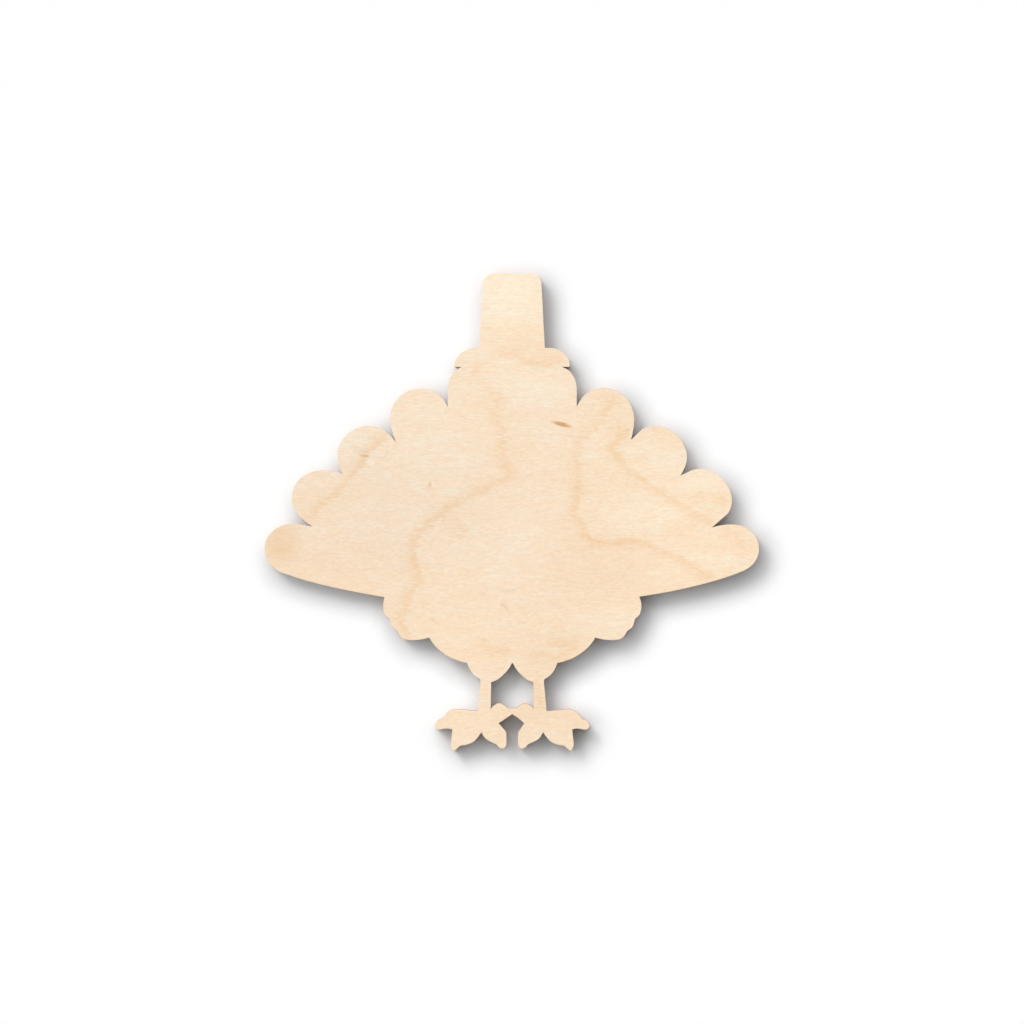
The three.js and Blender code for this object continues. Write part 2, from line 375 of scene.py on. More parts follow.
# %% [markdown]
# A point is a notch where the cut turns right by more than 30 degrees, and the curve has a corner
# there. Everywhere else it runs on smoothly.

# %% Lay a smooth curve through the points
NOTCH_TURN = math.radians(30)
CURVE_STEPS = 3  # short edges for each step of the ring
curve = bpy.data.curves.new("path of the laser", "CURVE")
curve.dimensions = "2D"
curve.fill_mode = "NONE"
curve.resolution_u = CURVE_STEPS
notches = 0
for ring in rings:
    spline = curve.splines.new("BEZIER")
    spline.bezier_points.add(len(ring) - 1)
    spline.use_cyclic_u = True
    for place, knot in enumerate(spline.bezier_points):
        here = ring[place]
        inward = here - ring[place - 1]
        onward = ring[(place + 1) % len(ring)] - here
        is_notch = inward.angle_signed(onward) > NOTCH_TURN
        notches += is_notch
        direction = direction_at(inward, onward)
        knot.co = here.to_3d()
        back = inward if is_notch else direction * inward.length
        ahead = onward if is_notch else direction * onward.length
        # Handles a third of the way to the next points keep an even pace.
        knot.handle_left = (here - back / 3).to_3d()
        knot.handle_right = (here + ahead / 3).to_3d()
print(notches, "notches stay sharp")

# %% [markdown]
# The curve becomes a ring of short edges. On a lobe it can bulge a hair past the frame's box, so
# the ring is then scaled to fit.

# %% Turn the curve into a ring of edges
laser_path = bpy.data.objects.new("path of the laser", curve)
bpy.context.scene.collection.objects.link(laser_path)
bpy.context.view_layer.update()
seen_path = laser_path.evaluated_get(bpy.context.evaluated_depsgraph_get())
outline = bpy.data.meshes.new_from_object(seen_path)
bpy.data.objects.remove(laser_path)
bpy.data.curves.remove(curve)

rim = bmesh.new()
rim.from_mesh(outline)
bmesh.ops.remove_doubles(rim, verts=rim.verts, dist=SAME_PLACE)
wide = max(abs(vert.co.x) for vert in rim.verts)
tall = max(abs(vert.co.y) for vert in rim.verts)
fit = min(1.0, cad_high.x / wide, cad_high.y / tall)
bmesh.ops.scale(rim, verts=rim.verts, vec=(fit, fit, 1))
rim.to_mesh(outline)
print(len(rim.verts), "points on the smooth cut, fitted by", round(fit, 5))
rim.free()

# %% [markdown]
# ## Cutting a layer
# Each layer is the same outline with its own thickness. The beam and the sandpaper ease its rims
# by less than a tenth of a millimetre, enough to take the sharpness off. The two outer faces are
# cut into a fine grid, so that their points can hold where the growth lines run.

# %% Ease a rim and score a grid
EASE_STEPS = ((0.29, 0.71), (0.71, 0.29))  # shares of the ease, in and up, on a quarter circle


def ease_rim(bm, faces, ease):
    """Rounds the rim of a flat side in two small steps."""
    for share_in, share_up in EASE_STEPS:
        bmesh.ops.inset_region(
            bm, faces=faces, thickness=ease * share_in, depth=ease * share_up,
            use_boundary=True, use_even_offset=True,
        )


def score_grid(bm, faces, spacing):
    """Cuts flat faces into a grid of squares."""
    edges = dict.fromkeys(edge for face in faces for edge in face.edges)
    verts = dict.fromkeys(vert for face in faces for vert in face.verts)
    part = [*verts, *edges, *faces]
    for normal, reach in (((1, 0, 0), cad_high.x), ((0, 1, 0), cad_high.y)):
        for line in range(-int(reach / spacing), int(reach / spacing) + 1):
            cut = bmesh.ops.bisect_plane(
                bm, geom=part, dist=SAME_LEVEL, plane_no=normal,
                plane_co=Vector(normal) * line * spacing,
            )
            part = cut["geom"]


print("a rim is eased in", len(EASE_STEPS), "steps")

# %% [markdown]
# One function cuts any layer. It fills the outline, pulls it up to its height, turns all faces
# outwards, then eases and scores the sides that ask for it. A glue film is set back a hair behind
# the wood, because hot resin shrinks away from the beam.

# %% Cut one layer to its thickness
SEAM_EASE = 0.03 * MM
RIM_EASE = 0.07 * MM
GOOD_GRID = 1.6 * MM
DEAD_FLAT = 0.99  # how upright the normal of a flat side stands at least


def cut_layer(node, ease_below, ease_above, set_back=0.0, grid_below=None, grid_above=None):
    """The layer that stands for one node of the frame, between that node's own two levels."""
    low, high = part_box(node)
    bm = bmesh.new()
    bm.from_mesh(outline)
    filled = bmesh.ops.triangle_fill(bm, use_dissolve=True, edges=bm.edges, normal=(0, 0, 1))
    floor = [item for item in filled["geom"] if isinstance(item, bmesh.types.BMFace)]
    if set_back:
        ring = bmesh.ops.inset_region(
            bm, faces=floor, thickness=set_back, use_boundary=True, use_even_offset=True,
        )
        bmesh.ops.delete(bm, geom=ring["faces"], context="FACES")
    bmesh.ops.translate(bm, verts=bm.verts, vec=(0, 0, low.z + ease_below))
    raised = bmesh.ops.extrude_face_region(bm, geom=bm.faces[:])
    roof_verts = [item for item in raised["geom"] if isinstance(item, bmesh.types.BMVert)]
    height = high.z - low.z - ease_below - ease_above
    bmesh.ops.translate(bm, verts=roof_verts, vec=(0, 0, height))
    bmesh.ops.recalc_face_normals(bm, faces=bm.faces)
    for up, ease, grid in ((-1, ease_below, grid_below), (1, ease_above, grid_above)):
        flat = [face for face in bm.faces if face.normal.z * up > DEAD_FLAT]
        if ease:
            ease_rim(bm, flat, ease)
        if grid:
            score_grid(bm, flat, grid)
    return bm


good_face = cut_layer("face_veneer", SEAM_EASE, RIM_EASE, grid_above=GOOD_GRID)
open_edges = sum(not edge.is_manifold for edge in good_face.edges)
print("good face:", len(good_face.faces), "faces,", open_edges, "open edges")

# %% [markdown]
# ## The growth lines of the good face
# A veneer is peeled off a turning log, so its blade cuts a growth ring at a very flat angle. The
# ring then shows as a wandering tan line, like a contour on a map: sharp on one side, fading out
# on the other. This board has a few, and we follow them. A line's points are pixels of the
# photograph with a strength, and the faded side lies to the right of its direction.

# %% Draw the growth lines
GROWTH_LINES = {
    "throat to left thigh": [
        (478, 378, 0.5), (490, 390, 0.6), (499, 396, 0.6), (497, 418, 0.7), (504, 432, 0.75),
        (502, 446, 0.8), (508, 463, 0.7), (514, 474, 1.1), (504, 482, 0.9), (491, 485, 0.9),
        (465, 499, 0.9), (446, 510, 1.25), (432, 521, 1.1), (420, 534, 1.1), (413, 550, 1.15),
        (413, 558, 1.2), (418, 573, 0.9), (419, 583, 1.0), (409, 597, 0.9), (408, 609, 1.0),
        (401, 616, 1.0), (403, 626, 1.0), (408, 636, 0.9),
    ],
    "right breast to right fan": [
        (616, 399, 0.7), (607, 411, 1.0), (604, 420, 0.7), (591, 431, 0.6), (580, 442, 0.8),
        (577, 452, 0.6), (577, 468, 0.8), (579, 484, 1.1), (580, 494, 1.0), (574, 505, 1.1),
        (577, 515, 0.9), (584, 527, 0.9), (590, 541, 1.3), (604, 543, 1.1), (618, 542, 1.1),
        (634, 542, 1.2), (648, 543, 1.1), (657, 549, 1.1), (672, 555, 1.15), (690, 563, 1.25),
        (702, 572, 1.0), (714, 577, 0.8),
    ],
    "across the right feathers": [
        (628, 431, 1.4), (619, 438, 1.2), (613, 447, 0.9), (617, 455, 1.0), (622, 463, 0.9),
        (632, 472, 0.8), (642, 478, 0.9), (650, 487, 0.6), (664, 495, 0.9), (683, 507, 1.0),
        (697, 515, 1.0), (711, 521, 0.9),
    ],
    "across the left feathers": [
        (386, 436, 0.9), (378, 443, 1.1), (366, 455, 1.2), (361, 463, 1.0), (354, 472, 1.0),
        (346, 484, 1.0), (339, 491, 1.1), (333, 497, 1.0), (323, 503, 1.1), (317, 512, 1.0),
        (309, 518, 1.0), (303, 518, 0.7),
    ],
    "under the hat": [
        (560, 360, 0.7), (549, 364, 1.0), (539, 364, 1.0), (527, 362, 0.8), (515, 357, 0.6),
        (503, 355, 0.6), (490, 360, 0.5), (478, 365, 0.5), (474, 373, 0.6), (470, 379, 0.5),
    ],
    "low on the belly": [(575, 649, 0.9), (560, 646, 1.0), (548, 642, 0.7)],
    "lowest on the belly": [(530, 655, 0.5), (542, 653, 0.9), (556, 658, 0.9), (566, 652, 0.6)],
    "belly, left": [(480, 645, 0.4), (492, 649, 0.8), (508, 650, 0.9)],
    "third right feather": [(696, 489, 0.3), (702, 498, 0.5), (712, 500, 0.5), (725, 500, 0.8)],
    "lowest right feather's tip": [(726, 532, 0.4), (738, 538, 0.7), (748, 550, 0.8)],
    "right leg": [(538, 684, 0.8), (540, 694, 0.8), (541, 706, 0.5)],
    "branch on the left": [(452, 512, 0.6), (457, 522, 0.6), (465, 531, 0.9)],
}
print(len(GROWTH_LINES), "growth lines")

# %% [markdown]
# Between the lines the wood is paler or warmer over wide patches, because the blade runs through
# early wood in one place and late wood in the next. Each patch has a middle, half a width and
# height in pixels, and how much warmer (or, below nought, paler) it is.

# %% Lay out the wide patches of tone
TONE_PATCHES = {
    "hat crown": (503, 296, 46, 30, -0.30),
    "hat below the crown": (520, 342, 30, 14, 0.04),
    "hat brim, left": (474, 352, 24, 12, -0.12),
    "throat": (516, 382, 50, 20, -0.12),
    "lowest left feather's tip": (281, 543, 16, 18, 0.37),
    "lowest left feather": (335, 566, 70, 24, 0.06),
    "right flank": (590, 572, 70, 28, 0.09),
    "belly, low right": (553, 645, 34, 22, 0.06),
    "belly, middle": (515, 552, 34, 44, -0.09),
    "right thigh": (614, 619, 36, 11, -0.12),
    "first right feather": (597, 450, 14, 20, -0.06),
    "second right feather": (655, 461, 30, 18, -0.11),
    "third right feather": (706, 482, 22, 10, -0.15),
    "fourth right feather": (655, 512, 42, 14, -0.14),
    "lowest right feather": (715, 560, 26, 8, -0.10),
    "right fan": (695, 520, 85, 60, -0.03),
    "second left feather": (352, 440, 16, 16, -0.09),
    "breast, middle": (548, 418, 26, 36, -0.08),
    "left breast": (430, 434, 44, 40, -0.09),
    "right leg": (539, 692, 8, 22, 0.05),
    "right foot": (563, 711, 22, 16, 0.08),
    "belly, right of the middle": (566, 530, 24, 16, 0.05),
    "right fan, below the line": (672, 562, 28, 14, -0.10),
    "feet, inner toes": (524, 712, 20, 14, 0.12),
}
print(len(TONE_PATCHES), "patches of tone")

# %% [markdown]
# The board also turns a little redder from left to right, and the hat is the reddest part. That is
# a few levels of a screen's 255, and looks natural. These patches are written like the last ones,
# with + for redder and - for cooler.

# %% Lay out the redder and cooler patches
RED_PATCHES = {
    "hat": (514, 298, 52, 60, 0.95),
    "right fan": (712, 520, 95, 80, 0.85),
    "left fan": (392, 508, 105, 60, -0.95),
    "left fan's tip": (275, 548, 24, 26, -0.7),
    "second left feather": (358, 448, 24, 24, -0.35),
    "left thigh": (455, 655, 50, 40, 0.45),
    "right thigh": (618, 622, 34, 20, 0.35),
    "right flank": (655, 590, 40, 24, 0.2),
    "left foot": (460, 722, 30, 20, 0.4),
}
print(len(RED_PATCHES), "redder and cooler patches")

# %% [markdown]
# The finish can follow those lines and patches only if the points of the face know them. A mesh
# can keep such numbers as attributes, one for each point, and the finish reads them by name and
# draws the soft shapes between the points.

# %% Keep numbers on a mesh
def note(mesh, name, values):
    """Stores one number for each point of a mesh, under a name that a finish can read."""
    numbers = mesh.attributes.new(name, "FLOAT", "POINT")
    numbers.data.foreach_set("value", np.asarray(values, dtype=np.float32))


def points_of(mesh):
    """The x and y of every point, in millimetres."""
    return np.array([vert.co.xy for vert in mesh.vertices]).T / MM


cut_x, cut_y = points_of(outline)
print("the cut spans", round(np.ptp(cut_x), 1), "by", round(np.ptp(cut_y), 1), "mm")

# %% [markdown]
# A growth line is a row of straight strokes. For one stroke, each point gets how far it is from it,
# how strong the line is there, and how much it stands across the fibres.

# %% Measure points against one stroke
LINE_REACH = 9.0  # millimetres to each side
LINE_END = 3.5  # millimetres over which an end fades out
NO_LINE = 0.95 * LINE_REACH


def measure_stroke(start, end, x, y):
    """Distance to a stroke, with its side as the sign, its strength, and how upright it runs."""
    start_x, start_y = on_board(*start[:2])
    end_x, end_y = on_board(*end[:2])
    length = math.hypot(end_x - start_x, end_y - start_y)
    along_x, along_y = (end_x - start_x) / length, (end_y - start_y) / length
    along = (x - start_x) * along_x + (y - start_y) * along_y
    run = np.clip(along, 0, length)
    off_x = x - start_x - along_x * run
    off_y = y - start_y - along_y * run
    away = np.minimum(np.hypot(off_x, off_y), LINE_REACH)
    side = np.where(along_y * off_x - along_x * off_y >= 0, 1.0, -1.0)
    strength = start[2] + (end[2] - start[2]) * run / length
    strength = strength * np.clip(1 - np.abs(along - run) / LINE_END, 0, 1)
    strength[away > NO_LINE] = 0
    return away * side, strength, along_y


print("a line reaches", LINE_REACH, "mm to each side")

# %% [markdown]
# Where lines come close to each other, a point listens to the one that shows most there.

# %% Measure points against all the growth lines
NEARER = 0.02  # taken off for each millimetre away, so that the nearer of two equal lines shows
# Millimetres past the line, and how tan the wood is there.
LINE_PROFILE = {
    -3.6: 0.0, -2.2: 0.08, -1.0: 0.85, 0.3: 1.0, 1.6: 0.72, 3.2: 0.42, 5.2: 0.18, 8.2: 0.0,
}


def measure_lines(x, y):
    """Distance, strength and uprightness of the line that shows most at each point."""
    numbers = np.zeros((3, len(x)))
    numbers[0] = LINE_REACH
    shows = np.full(len(x), -1.0)
    for points in GROWTH_LINES.values():
        for start, end in zip(points, points[1:]):
            distance, strength, upright = measure_stroke(start, end, x, y)
            tan = np.interp(distance, list(LINE_PROFILE), list(LINE_PROFILE.values()))
            showing = strength * tan - NEARER * np.abs(distance)
            more = showing > shows
            shows[more] = showing[more]
            numbers[:, more] = distance[more], strength[more], np.full(more.sum(), upright)
    return numbers


print(sum(len(points) - 1 for points in GROWTH_LINES.values()), "strokes to measure against")

# %% [markdown]
# The patches add up. Each is even in its middle and fades out round it. The last measure is for
# the back, where smoke has stained the wood beside the cut.

# %% Measure points against the patches and the cut
PATCH_FALL = 0.7


def measure_patches(patches, x, y):
    """The sum of some wide patches at each point."""
    tone = np.zeros(len(x))
    for middle_x, middle_y, half_wide, half_high, amount in patches.values():
        at_x, at_y = on_board(middle_x, middle_y)
        across = (x - at_x) / (half_wide * PIXEL / MM)
        up = (y - at_y) / (half_high * PIXEL / MM)
        tone += amount * np.exp(-PATCH_FALL * np.hypot(across, up) ** 3)
    return tone


def measure_rim(x, y):
    """Distance from each point to the cut, in millimetres."""
    away = np.full(len(x), np.inf)
    for at_x, at_y in zip(cut_x, cut_y):
        away = np.minimum(away, np.hypot(x - at_x, y - at_y))
    return away


middle = np.zeros(1)
print("the board's middle is", round(measure_rim(middle, middle)[0]), "mm from the cut")

# %% [markdown]
# ## Finish: birch, rotary cut and sanded
# Birch is pale and close grained. Sanded bare, it is matt, with faint fibres along the grain that
# run across this board, tan growth lines, and a dark mineral streak here and there. The eye
# reads it as soft, warm and unfinished. Its own fibres are a millimetre long and a thirtieth of
# that high. That is too fine to show at 0.6 mm to the pixel, so bundles of them are drawn, as
# coarse as they need to show.

# %% Draw marks of a real size
FIBRE = (4.6, 1.3, 4.6)
HAIR = (2.6, 0.55, 2.6)
NAP = (2.8, 0.9, 2.8)
STREAK = (9, 1.8, 9)
CLOUD = (17, 8, 17)


def drawn_out(tree, where, size, detail=2.0, seed=0.0):
    """Noise whose marks have a real size along x, y and z, in millimetres."""
    scale = [1 / (side * MM) for side in size]
    place = add(tree, "Mapping", {"Vector": where, "Location": (seed,) * 3, "Scale": scale})
    return add(tree, "TexNoise", {"Vector": place, "Scale": 1.0, "Detail": detail})


def sum_up(tree, start, shares):
    """Adds to a start value each pattern's distance from its middle grey, times its share."""
    total = start
    for source, share in shares:
        centred = add(tree, "Math", {0: source, 1: 0.5}, operation="SUBTRACT")
        total = add(tree, "Math", {0: centred, 1: share, 2: total}, operation="MULTIPLY_ADD")
    return total


print("bundles", FIBRE[0], "mm long and", FIBRE[1], "mm high")

# %% [markdown]
# No trunk grows dead straight, so the grain of a veneer sways. A slow noise moves every place up
# or down before anything is drawn there, so all the patterns sway together.

# %% Draw the fibres that both faces share
SWAY = (0, 14 * MM, 0)
SWAY_WAVES = 14.0  # to the metre


def moved(tree, where, waves, reach, detail=2.0):
    """Places moved at random by up to half a reach along x, y and z."""
    noise = add(tree, "TexNoise", {"Vector": where, "Scale": waves, "Detail": detail})
    shift = add(
        tree, "VectorMath", {0: noise.outputs["Color"], 1: (0.5, 0.5, 0.5)}, operation="SUBTRACT",
    )
    shift = add(tree, "VectorMath", {0: shift, 1: reach}, operation="MULTIPLY")
    return add(tree, "VectorMath", {0: where, 1: shift}, operation="ADD")


def birch_fibres(tree, seed):
    """The grain of one veneer: places that sway with it, and its fibres, hairs and clouds."""
    where = add(tree, "TexCoord").outputs["Object"]
    swayed = moved(tree, where, SWAY_WAVES + seed, SWAY, detail=2.5)
    return {
        "where": where,
        "swayed": swayed,
        "fibre": drawn_out(tree, swayed, FIBRE, detail=0.5, seed=seed),
        "hair": drawn_out(tree, swayed, HAIR, detail=0.0, seed=seed + 3),
        "streak": drawn_out(tree, swayed, STREAK, detail=1.0, seed=seed + 5),
        "cloud": drawn_out(tree, swayed, CLOUD, detail=3.0, seed=seed + 7),
    }


good_finish, tree = empty_finish("birch, rotary cut and sanded")
grain = birch_fibres(tree, seed=0.0)
print(len(grain), "parts of the grain, swaying by", round(SWAY[1] / MM / 2), "mm at most")

# %% [markdown]
# A growth line is sharp before it and faded after it. A curve turns the distance that each point
# holds into that tone.

# %% Turn a distance into a line's tone
def line_profile(tree, shifted):
    """How tan the wood is at a distance from a growth line, sharp before it and faded after."""
    placed = add(
        tree, "MapRange", {"Value": shifted, "From Min": -LINE_REACH, "From Max": LINE_REACH},
    )
    profile = add(tree, "ValToRGB", {"Fac": placed})
    profile.color_ramp.interpolation = "B_SPLINE"
    profile.color_ramp.elements.remove(profile.color_ramp.elements[0])
    profile.color_ramp.elements[0].color = (0, 0, 0, 1)
    for millimetres, level in LINE_PROFILE.items():
        stop = profile.color_ramp.elements.new(0.5 + millimetres / LINE_REACH / 2)
        stop.color = (level, level, level, 1)
    return profile


STORED_NUMBERS = ("line_distance", "line_strength", "line_upright", "patch_tone", "patch_red")
stored = {}
for number in STORED_NUMBERS:
    stored[number] = add(tree, "Attribute", attribute_name=number).outputs["Fac"]
print("a growth line fades over", LINE_REACH, "mm at most")

# %% [markdown]
# Two noises shift that distance first. One row of fibres takes the tone a little further than the
# next, so an upright line gets a ragged border, and the line wanders by a millimetre. Then streaks
# along the grain make the line stronger here and weaker there.

# %% Fray the growth lines
ROWS = (14, 0.9, 14)
BENDS = (5, 5, 5)
ROWS_SHIFT = 11.0  # millimetres between the lowest and the highest noise
BENDS_SHIFT = 3.5
STREAKS_SHARE = 1.8
jag = drawn_out(tree, grain["swayed"], ROWS, detail=1.0, seed=11.0)
bend = drawn_out(tree, grain["where"], BENDS, detail=1.0, seed=17.0)
ragged = sum_up(tree, 0.0, [(jag, ROWS_SHIFT)])
ragged = add(tree, "Math", {0: ragged, 1: stored["line_upright"]}, operation="MULTIPLY")
shifted = sum_up(tree, stored["line_distance"], [(bend, BENDS_SHIFT)])
shifted = add(tree, "Math", {0: shifted, 1: ragged}, operation="ADD")
line_level = line_profile(tree, shifted)
streaks = drawn_out(tree, grain["swayed"], STREAK, seed=19.0)
streaked = sum_up(tree, 1.0, [(streaks, STREAKS_SHARE)])
line_tone = add(tree, "Math", {0: line_level, 1: stored["line_strength"]}, operation="MULTIPLY")
line_tone = add(tree, "Math", {0: line_tone, 1: streaked}, operation="MULTIPLY")
print("rows of fibres", ROWS[1], "mm high fray an upright line")

# %% [markdown]
# All tones add up to one number that runs from pale early wood to tan late wood, and a colour ramp
# turns it into colour.

# %% Turn tone into colour
BASE_TONE = 0.40
LINE_SHARE = 0.33
FIGURE = {"fibre": 0.36, "hair": 0.14, "streak": 0.28, "cloud": 0.36}


def birch_colour(tree, tone, tones):
    """Colour from pale to tan along the tone."""
    ramp = add(tree, "ValToRGB", {"Fac": tone})
    ramp.color_ramp.elements[0].color = linear(tones[0])
    ramp.color_ramp.elements[1].color = linear(tones[2])
    ramp.color_ramp.elements.new(BASE_TONE).color = linear(tones[1])
    return ramp


tone = add(tree, "Math", {0: stored["patch_tone"], 1: BASE_TONE}, operation="ADD")
tone = add(tree, "Math", {0: line_tone, 1: LINE_SHARE, 2: tone}, operation="MULTIPLY_ADD")
tone = sum_up(tree, tone, [(grain[pattern], share) for pattern, share in FIGURE.items()])
wood = birch_colour(tree, tone, ("#FFF2DE", "#FCE2C6", "#F5CEA3"))
print("birch, pale to tan, in", len(FIGURE), "patterns")

# %% [markdown]
# The redder and cooler patches tint that colour, with slow bands in them. Last, the nap that
# sandpaper leaves, a fine haze of lifted fibres, makes it a shade lighter and darker.

# %% Tint the wood and lay its nap
COOL_TINT, RED_TINT = "#F8FCFF", "#FFFFFB"
BANDS = (30, 5, 30)
BANDS_SHARE = 0.7
PLAIN_SHADE, NAP_SHADE, CLOUD_SHADE = 0.999, 0.17, 0.04
COLOUR_A, COLOUR_B, COLOUR_OUT = 6, 7, 2  # where a Mix node takes and gives colours
band = drawn_out(tree, grain["swayed"], BANDS, seed=23.0)
red = add(tree, "Math", {0: stored["patch_red"], 1: 0.5, 2: 0.5}, operation="MULTIPLY_ADD")
red = add(tree, "Clamp", {"Value": sum_up(tree, red, [(band, BANDS_SHARE)])})
tint = add(
    tree, "Mix", {0: red, COLOUR_A: linear(COOL_TINT), COLOUR_B: linear(RED_TINT)},
    data_type="RGBA",
).outputs[COLOUR_OUT]
colour = add(
    tree, "Mix", {0: 1.0, COLOUR_A: wood, COLOUR_B: tint}, data_type="RGBA", blend_type="MULTIPLY",
).outputs[COLOUR_OUT]
nap = drawn_out(tree, grain["swayed"], NAP, detail=1.0, seed=43.0)
shade = sum_up(tree, PLAIN_SHADE, [(nap, NAP_SHADE), (grain["cloud"], CLOUD_SHADE)])
colour = add(tree, "HueSaturation", {"Color": colour, "Value": shade})
print("cooler on the left, redder on the right")

# %% [markdown]
# The small marks are ovals. Each has its place in pixels, half its length and height in pixels,
# its tilt in degrees, its colour and its depth.

# %% List the small marks
SMALL_MARKS = {
    "mineral streak": (562, 424.4, 13.0, 3.1, -16, "#E2BA90", 1.0),
    "mineral streak's core": (561, 424.2, 7.5, 2.0, -15, "#D3A276", 0.8),
    "brown fleck": (364.7, 455.7, 6.2, 2.1, -4, "#DAB895", 0.9),
    "pale stain above it": (358, 450, 13, 5.5, -20, "#EDD6BC", 0.5),
    "upright tick": (429.4, 484.5, 1.6, 4.2, 0, "#E7C89E", 0.85),
    "fleck on the belly": (504.6, 606.4, 7, 2.8, -38, "#EACDB1", 0.6),
    "fleck above it": (507.5, 590.3, 11, 2.6, 0, "#EED4B8", 0.5),
    "fleck by the thigh": (433.3, 619.6, 5.6, 2.8, -38, "#EBD1B3", 0.5),
    "fleck low on the belly": (484.5, 640, 6.4, 3.0, -8, "#F2D0A4", 0.5),
    "yellow streak on a line": (616, 454.8, 8, 2.6, -8, "#F3D4A4", 0.6),
    "yellow streak below it": (621, 459.8, 7, 2.4, -8, "#F2D2A0", 0.6),
    "yellow stain by them": (632, 460.5, 12, 3.2, 0, "#F7DDB6", 0.5),
    "small yellow streak": (641.6, 478.2, 6, 2.4, -8, "#F3D3A3", 0.55),
    "light fleck": (370.5, 462.4, 5.5, 4.0, -10, "#FAEEE2", 0.5),
    "light fleck by it": (388, 475, 4.5, 6.0, 20, "#F8ECDE", 0.35),
}
print(len(SMALL_MARKS), "small marks")

# %% [markdown]
# A plain oval would look like a sticker. So each fades out towards its rim, and a noise frays it
# along the grain, as the fibres do on the real board.

# %% Add the small marks
FRAY_WAVES = 420.0  # to the metre
MARK_FRAY = (3 * MM, 1.4 * MM, 0)
SOFT_RIM = 0.55  # how far in from its rim a mark is still fading


def add_mark(tree, where, colour, place, half_size, tilt, mark_colour, depth):
    """Mixes an oval mark with a soft rim into a colour."""
    oval = add(
        tree, "Mapping",
        {"Vector": where, "Location": (*place, 0), "Rotation": (0, 0, math.radians(tilt)),
         "Scale": (*half_size, 1)},
        vector_type="TEXTURE",
    )
    ball = add(tree, "TexGradient", {"Vector": oval}, gradient_type="SPHERICAL")
    inside = add(
        tree, "MapRange",
        {"Value": ball.outputs["Fac"], "From Max": SOFT_RIM, "To Max": depth},
        interpolation_type="SMOOTHSTEP",
    )
    return add(
        tree, "Mix", {0: inside, COLOUR_A: colour, COLOUR_B: linear(mark_colour)}, data_type="RGBA",
    ).outputs[COLOUR_OUT]


frayed = moved(tree, grain["where"], FRAY_WAVES, MARK_FRAY)
for mark_x, mark_y, half_long, half_high, tilt, mark_colour, depth in SMALL_MARKS.values():
    place = [side * MM for side in on_board(mark_x, mark_y)]
    half_size = (half_long * PIXEL, half_high * PIXEL)
    colour = add_mark(tree, frayed, colour, place, half_size, tilt, mark_colour, depth)
print("marks frayed every", round(1 / FRAY_WAVES / MM, 1), "mm")

# %% [markdown]
# Fine sandpaper leaves a dull surface. The fibres stand proud by a few thousandths of a
# millimetre, so the bump is hardly there. The pores are short pits, a tenth of a millimetre wide,
# drawn about twice as coarse so that they show. The shine is broad and weak, because light that
# gets in between loose fibres is scattered before it can glint, so the specular level is low too.

# %% Give the good face its bump and dull shine
def bare_wood(tree, grain, colour, relief):
    """Joins colour, bump and roughness into the surface of sanded, unfinished wood."""
    pits = add(
        tree, "MapRange", {"Value": grain["hair"], "From Min": 0.30, "From Max": 0.42},
        interpolation_type="SMOOTHSTEP",
    )
    height = add(tree, "Math", {0: grain["fibre"], 1: 0.5, 2: pits}, operation="MULTIPLY_ADD")
    bump = add(tree, "Bump", {"Height": height, "Distance": relief, "Strength": 1.0})
    rough = add(
        tree, "MapRange", {"Value": grain["fibre"], "From Min": 0.3, "From Max": 0.7,
                           "To Min": 0.92, "To Max": 0.78},
    )
    surface = add(
        tree, "BsdfPrincipled", {"Base Color": colour, "Roughness": rough, "Normal": bump,
                                 "IOR": 1.45, "Specular IOR Level": 0.1},
    )
    add(tree, "OutputMaterial", {"Surface": surface})


bare_wood(tree, grain, colour, relief=0.002 * MM)
print("sanded birch with a dull shine")

# %% [markdown]
# ## Finish: birch of second grade, for the back
# Makers turn the better veneer up, so the back has more figure and a few pin knots, where a twig
# began. Its growth lines come from a slow noise cut into steps, like the contours of a hill.

# %% Draw the back face's growth lines
HILL = (120, 46, 120)
HILL_STEPS = 9.0
HILL_FRAY = 0.02
LINE_SPACING = 2.2 * LINE_REACH
BACK_LINE_SHARE = 0.42
BACK_FIGURE = {"fibre": 0.45, "hair": 0.15, "cloud": 0.55}
back_finish, tree = empty_finish("birch of second grade, sanded")
grain = birch_fibres(tree, seed=5.0)
hill = drawn_out(tree, grain["swayed"], HILL, detail=0.0, seed=31.0)
jag = drawn_out(tree, grain["swayed"], ROWS, detail=1.0, seed=37.0)
hill = sum_up(tree, hill, [(jag, HILL_FRAY)])
steps = add(tree, "Math", {0: hill, 1: HILL_STEPS}, operation="MULTIPLY")
steps = add(tree, "Math", {0: steps}, operation="FRACT")
shifted = add(
    tree, "MapRange", {"Value": steps, "To Min": min(LINE_PROFILE), "To Max": LINE_SPACING},
)
line_tone = line_profile(tree, shifted)
tone = add(
    tree, "Math", {0: line_tone, 1: BACK_LINE_SHARE, 2: BASE_TONE}, operation="MULTIPLY_ADD",
)
tone = sum_up(tree, tone, [(grain[pattern], share) for pattern, share in BACK_FIGURE.items()])
colour = birch_colour(tree, tone, ("#F7E6CB", "#EFD6B3", "#DDB583"))
print("hills", HILL[0], "mm long")

# %% [markdown]
# A pin knot is a dark dot in a tan ring, drawn like the small marks. The list gives its place,
# half its length and half its height, all in millimetres.

